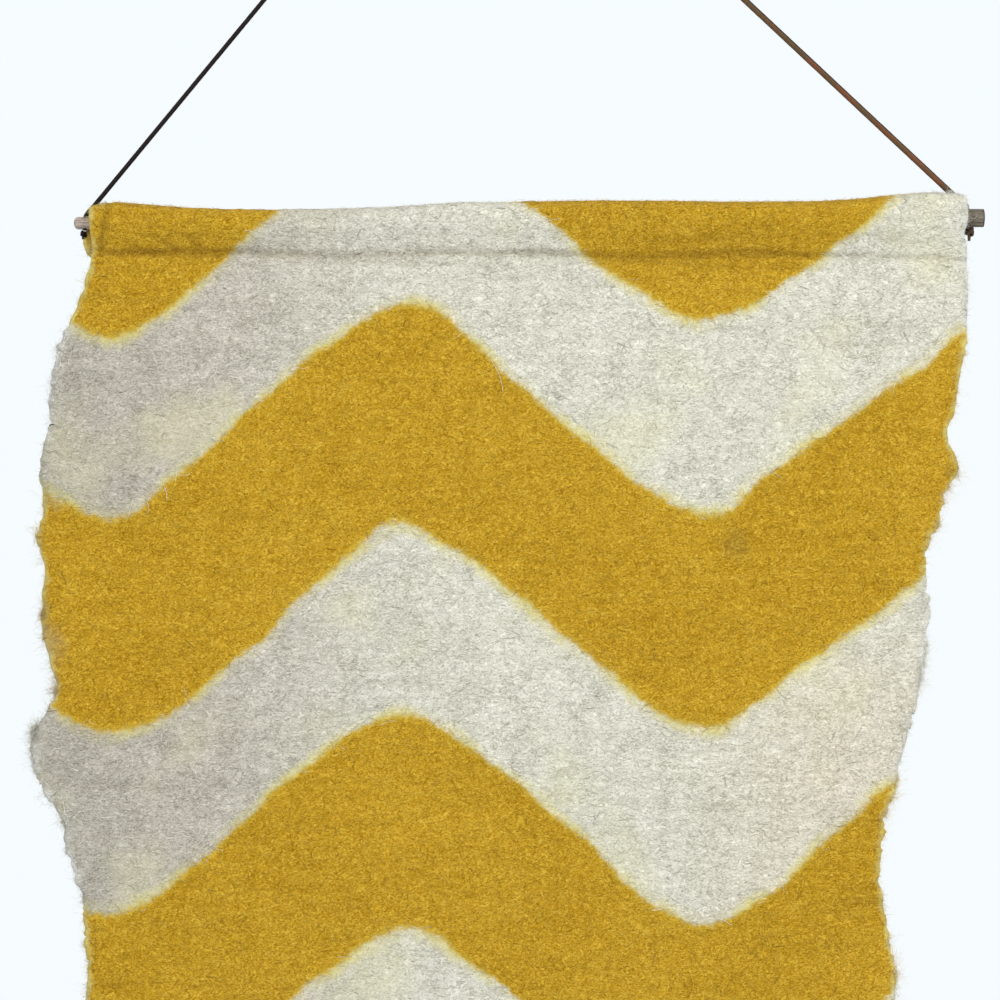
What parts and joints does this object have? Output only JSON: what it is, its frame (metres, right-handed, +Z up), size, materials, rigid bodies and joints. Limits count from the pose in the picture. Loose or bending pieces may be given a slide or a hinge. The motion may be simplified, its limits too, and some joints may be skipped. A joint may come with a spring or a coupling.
{
  "type": "felt wall hanging on a stick",
  "caption": "Hand-felted wool wall hanging with a folded sleeve over a wooden stick, hung from a knotted leather thong.",
  "frame": {"origin": "the point inside the thong's loop where a nail carries the hanging", "axes": "+Z up, +X to the viewer's right, -Y towards the viewer and +Y towards the wall"},
  "size_m": [0.8966, 0.0277, 1.6722],
  "materials": {
    "felt": "hand-made wool felt, cream with broad ochre zigzag bands, hairy",
    "stick": "peeled and weathered grey-brown wood",
    "thong": "dark brown leather lace, semi-matt"
  },
  "bodies": {
    "root": {"felt": "felt", "stick": "stick", "thong_left": "thong", "thong_right": "thong", "thong_loop": "thong", "knot_left": "thong", "knot_right": "thong"}
  },
  "joints": []
}
